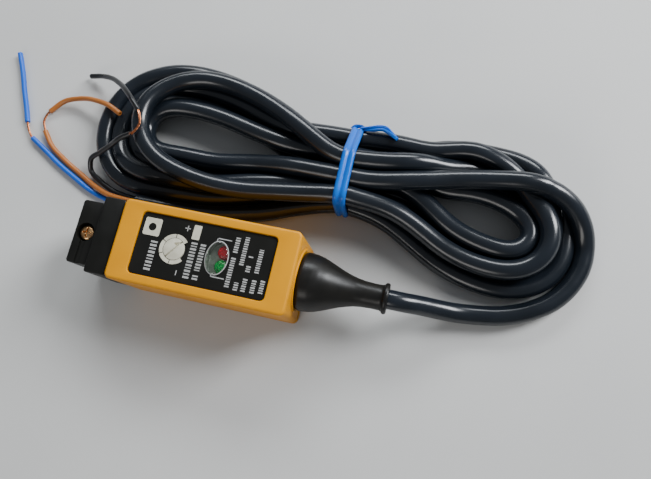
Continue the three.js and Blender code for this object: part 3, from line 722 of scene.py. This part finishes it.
def printed_box(x, y, radius=0.1):
    return printed(rounded_rectangle(x, y, radius, 0, 3)[:, :2])


def printed_words(x, height, spans):
    """A column of words along Y, each letter a bar of its own width."""
    widths = (0.62, 0.5, 0.66, 0.34, 0.58, 0.7, 0.46)
    marks = []
    for k, (start, end) in enumerate(spans):
        y = start
        while y < end - 0.3:
            width = min(widths[(k + len(marks)) % len(widths)] * height / 2, end - y)
            marks.append(printed_box((x - height / 2, x + height / 2), (y, y + width), 0.08))
            y += width + 0.22 * height
    return marks


def printed_line(points, width=0.28):
    """A thin printed line with square corners."""
    marks = []
    for (x0, y0), (x1, y1) in zip(points, points[1:]):
        length = math.hypot(x1 - x0, y1 - y0)
        u = np.array([(x1 - x0) / length, (y1 - y0) / length]) * width / 2
        v = np.array([-u[1], u[0]])
        a, b = np.array([x0, y0]), np.array([x1, y1])
        marks.append(printed([a - u - v, b + u - v, b + u + v, a - u + v]))
    return marks


def round_point(middle, radius, angle):
    return middle[0] + radius * math.cos(angle), middle[1] + radius * math.sin(angle)


def scale_ring():
    """The printed scale round the adjuster: five equal parts, open towards the cord."""
    start, part, space = 36, 57, 3.2
    inner, outer = 3.42, 4.55
    marks = []
    for k in range(5):
        low, high = start + part * k + space / 2, start + part * (k + 1) - space / 2
        angles = np.radians(np.linspace(low, high, 12))
        arc = [(outer, a) for a in angles] + [(inner, a) for a in angles[::-1]]
        marks.append(printed([round_point(ADJUSTER, r, a) for r, a in arc]))
    return marks


def ellipse(half_x, half_y, z, middle, steps=48):
    angles = np.linspace(0, 2 * math.pi, steps, endpoint=False)
    return np.stack([middle + half_x * np.cos(angles), half_y * np.sin(angles), np.full(steps, z)], 1)


def add_window():
    """A clear lens over a pale tray, with the two indicators in it."""
    middle, half_x, half_y, top = -1.5, 3.3, 4.9, 23.9
    rings = [ellipse(half_x, half_y, LABEL_TOP - 0.4, middle)]
    for inset, drop in edge_steps(0.4, 6):
        rings.append(ellipse(half_x - inset, half_y - inset, top - 0.12 - drop, middle))
    rings.append(ellipse(half_x - 1.2, half_y - 1.4, top - 0.04, middle))
    rings.append(ellipse(half_x - 2.2, half_y - 2.8, top, middle))
    add_piece(mesh("window", [loft(rings)]), "body", "clear_plastic", "indicator_window")
    tray = [ellipse(half_x + 0.4, half_y + 0.4, z, middle) for z in (20.4, 20.9)]
    wall = [
        ellipse(half_x + grow, half_y + grow, z, middle)
        for grow, z in ((0.4, 20.9), (0.4, 22.8), (-0.1, 22.8), (-0.3, 20.9))
    ]
    base = mesh("window_tray", [loft(tray), loft([*wall, wall[0]], False, False)])
    add_piece(base, "body", "ivory_plastic")
    base.data.materials[0] = finish("tray", (0.2, 0.23, 0.19), (0.3, 0.33, 0.28), (0.3, 0.4), patch=300)
    rings = [
        ellipse(half_x + grow, half_y + grow, LABEL_TOP - 0.02 + z, middle)
        for grow, z in ((0.28, 0), (0.28, 0.06), (0.02, 0.14), (0.02, 0))
    ]
    edge = mesh("window_rim", [loft([*rings, rings[0]], False, False)])
    add_piece(edge, "body", "ivory_plastic")
    edge.data.materials[0] = finishes["ink"]


def add_indicator(name, node, slot, y):
    """A dome that nearly fills its half of the window."""
    x, radius, top = -0.1, 2.05, 22.85
    line = np.array([(x, y, 17.4), (x, y, top)])
    length = top - 17.4
    profile = [(0, radius - 0.2), (0.2, radius)]
    for a in np.linspace(0, 1.5, 12):
        profile.append((length - radius * 0.7 * (1 - math.sin(a)), radius * math.cos(a)))
    add_piece(mesh(name, [turned_along(line, profile, 32)]), "body", slot, node)


def half_disc(turn_angle, half_slot, radius, inset, z):
    """Half of the adjuster's top, on one side of its slot."""
    low = math.asin((half_slot + inset) / (radius - inset))
    angles = np.linspace(low, math.pi - low, 28)
    return np.array([(*round_point(ADJUSTER, radius - inset, a + turn_angle), z) for a in angles])


def add_adjuster():
    """An ivory disc with a screwdriver slot, and a pointer at one end of the slot: a flat darker mark,
    painted shade for the pointer's notch.
    """
    radius, top, slot_angle = 3.3, LABEL_TOP + 0.1, math.radians(52)
    middle = np.array([(*ADJUSTER, 21.9), (*ADJUSTER, top)])
    skirt = [(0, radius - 0.1), (0.1, radius), (0.9, radius), (1, radius - 0.1)]
    parts = [turned_along(middle, skirt, 64)]
    for side in (0, math.pi):
        steps = ((0, top - 0.65), (0, top - 0.12), (0.04, top - 0.04), (0.12, top))
        parts.append(loft([half_disc(slot_angle + side, 0.22, radius, inset, z) for inset, z in steps]))
    add_piece(mesh("adjuster_knob", parts, 50), "adjuster", "ivory_plastic", "sensitivity_adjuster")
    # The pointer is a flat triangle of darker ivory just proud of the top: painted shade that stands in for
    # the shade inside the pointer's notch
    u = np.array([math.cos(slot_angle), math.sin(slot_angle)])
    v = np.array([-u[1], u[0]])
    corners = [ADJUSTER + along * u + aside * v for along, aside in ((1.2, 0.3), (2.9, 0.3), (1.2, 1.5))]
    base = np.array([(x, y, top - 0.02) for x, y in corners])
    painted_shade_pointer = mesh("adjuster_pointer", [loft([base, base + (0, 0, 0.04)])])
    add_piece(painted_shade_pointer, "adjuster", "ivory_plastic")
    painted_shade_pointer.data.materials[0] = finish("painted_shade_pointer", (0.36, 0.33, 0.22), (0.3, 0.27, 0.18), (0.4, 0.5))


def add_print():
    grey = [printed_box((-26, -20.7), (2.65, 8), 0.5), printed_box((-10.6, -8.2), (4, 8.4), 0.3)]
    grey += scale_ring()
    white = []
    white += printed_words(-21.5, 2.1, [(-7.7, 1.9)])
    white += printed_words(-9.2, 1.9, [(-7.7, 3.5)])
    white += printed_words(-6.4, 1.7, [(-7.6, -5.7), (-4.9, 3.7)])
    white += printed_words(3.5, 1.4, [(-7.7, 1.4), (2.6, 7.7)])
    white += printed_words(6.2, 1.35, [(-8.1, -5.4), (-0.6, 8.3)])
    white += printed_words(8.5, 1.35, [(-8, -4.2), (-2.2, -0.4), (2.1, 2.9)])
    white += printed_words(11.2, 1.35, [(-7.9, -3.9), (-2, 5.6)])
    white += printed_words(13.7, 1.35, [(-7.5, -3.2)])
    white += printed_line([(-2.6, 5.1), (-2.6, 5.8), (1.6, 5.8)])
    white += printed_line([(-1.9, -4.9), (-1.9, -5.6), (2.1, -5.6)])
    white += printed_line([(-12.4, 6.2), (-12.4, 7.6)], 0.3)
    white += printed_line([(-13.1, 6.9), (-11.7, 6.9)], 0.3)
    white += printed_line([(-12.4, -7.3), (-12.4, -6.1)], 0.3)
    add_piece(mesh("scale_print", grey), "body", "ivory_plastic")
    ink = add_piece(mesh("label_print", white), "body", "ivory_plastic")
    ink.data.materials[0] = finishes["ink"]
    around = np.linspace(0, 2 * math.pi, 32, endpoint=False)
    spot = printed([round_point((-23.35, 5.3), 1.2, a) for a in around])
    raised = (spot[0] + (0, 0, 0.02), spot[1])
    add_piece(mesh("emblem_spot", [raised]), "body", "label_black")


# ---- The CAD nodes that show as they are

def soft_group():
    """Joins a node's corners and shades its rounds smooth."""
    group = bpy.data.node_groups.new("soft", "GeometryNodeTree")
    for way in ("INPUT", "OUTPUT"):
        group.interface.new_socket("Geometry", in_out=way, socket_type="NodeSocketGeometry")
    add = group.nodes.new
    source, sink = add("NodeGroupInput"), add("NodeGroupOutput")
    merge = add("GeometryNodeMergeByDistance")
    merge.inputs["Distance"].default_value = 1e-6
    smooth = add("GeometryNodeSetShadeSmooth")
    hard = add("GeometryNodeSetShadeSmooth")
    hard.domain = "EDGE"
    hard.inputs["Shade Smooth"].default_value = False
    angle = add("GeometryNodeInputMeshEdgeAngle")
    over = add("FunctionNodeCompare")
    over.operation = "GREATER_THAN"
    over.inputs[1].default_value = math.radians(32)
    link = group.links.new
    link(source.outputs[0], merge.inputs["Geometry"])
    link(merge.outputs["Geometry"], smooth.inputs["Geometry"])
    link(smooth.outputs["Geometry"], hard.inputs["Geometry"])
    link(angle.outputs["Unsigned Angle"], over.inputs[0])
    link(over.outputs["Result"], hard.inputs["Selection"])
    link(hard.outputs["Geometry"], sink.inputs[0])
    return group


# How wide the worn edge of a node is, in millimetres; others have 0.08
EDGES = {"optic_block": 0.25, "clamp_block": 0.25, "base_cover": 0.2, "label_plate": 0.05}


def finish_nodes():
    group = soft_group()
    for part in frame["record"]["subparts"]:
        node = nodes[part["node"]]
        node.data.materials.clear()
        node.data.materials.append(finishes[part["material_slot"]])
        soft = node.modifiers.new("soft", "NODES")
        soft.node_group = group
        bevel = node.modifiers.new("edges", "BEVEL")
        bevel.width = EDGES.get(part["node"], 0.08) * MM
        bevel.segments = 2
        bevel.limit_method = "ANGLE"
        bevel.angle_limit = math.radians(40)


# ---- The floor and the light

def add_floor():
    mesh_data = bpy.data.meshes.new("floor")
    half = 1.5
    corners = [(-half, -half, 0), (half, -half, 0), (half, half, 0), (-half, half, 0)]
    mesh_data.from_pydata(corners, [], [(0, 1, 2, 3)])
    floor = bpy.data.objects.new("floor", mesh_data)
    floor.location.z = -0.0001
    bpy.context.scene.collection.objects.link(floor)
    floor.data.materials.append(
        finish(
            "floor", (0.56, 0.56, 0.545), (0.52, 0.52, 0.51), (0.6, 0.7),
            grain=900, depth=0.01, patch=12,
        )
    )


def add_area(name, place, aim, size, power, colour=(1, 1, 1)):
    data = bpy.data.lights.new(name, "AREA")
    data.shape = "RECTANGLE"
    data.size, data.size_y = size
    data.energy = power
    data.color = colour
    light = bpy.data.objects.new(name, data)
    light.location = place
    light.rotation_euler = (Vector(aim) - Vector(place)).to_track_quat("-Z", "Y").to_euler()
    bpy.context.scene.collection.objects.link(light)


def add_light():
    world = bpy.data.worlds.new("studio")
    world.use_nodes = True
    world.node_tree.nodes["Background"].inputs["Color"].default_value = (0.8, 0.85, 0.92, 1)
    world.node_tree.nodes["Background"].inputs["Strength"].default_value = 0.25
    bpy.context.scene.world = world
    add_area("window", (0.6, 0.5, 0.5), (0.02, 0.02, 0), (0.3, 0.45), 13, (0.95, 0.97, 1))
    add_area("back", (-0.1, 0.8, 0.5), (0.02, 0.02, 0), (0.7, 0.2), 7, (0.93, 0.97, 1))
    add_area("fill", (-0.2, -0.7, 0.45), (0.0, 0.0, 0), (0.6, 0.3), 2.5, (1, 0.97, 0.93))


add_camera()
finishes = make_finishes()
finish_nodes()
add_cord()
for wire_colour, wire_routes in WIRE_ROUTES.items():
    add_wire(wire_colour, wire_routes)
add_housing()
add_boot()
add_window()
add_indicator("light_on", "led_light_on", "red_lens", 2.15)
add_indicator("stability", "led_stability", "green_lens", -2.15)
add_adjuster()
add_print()
add_floor()
add_light()

bpy.context.view_layer.update()
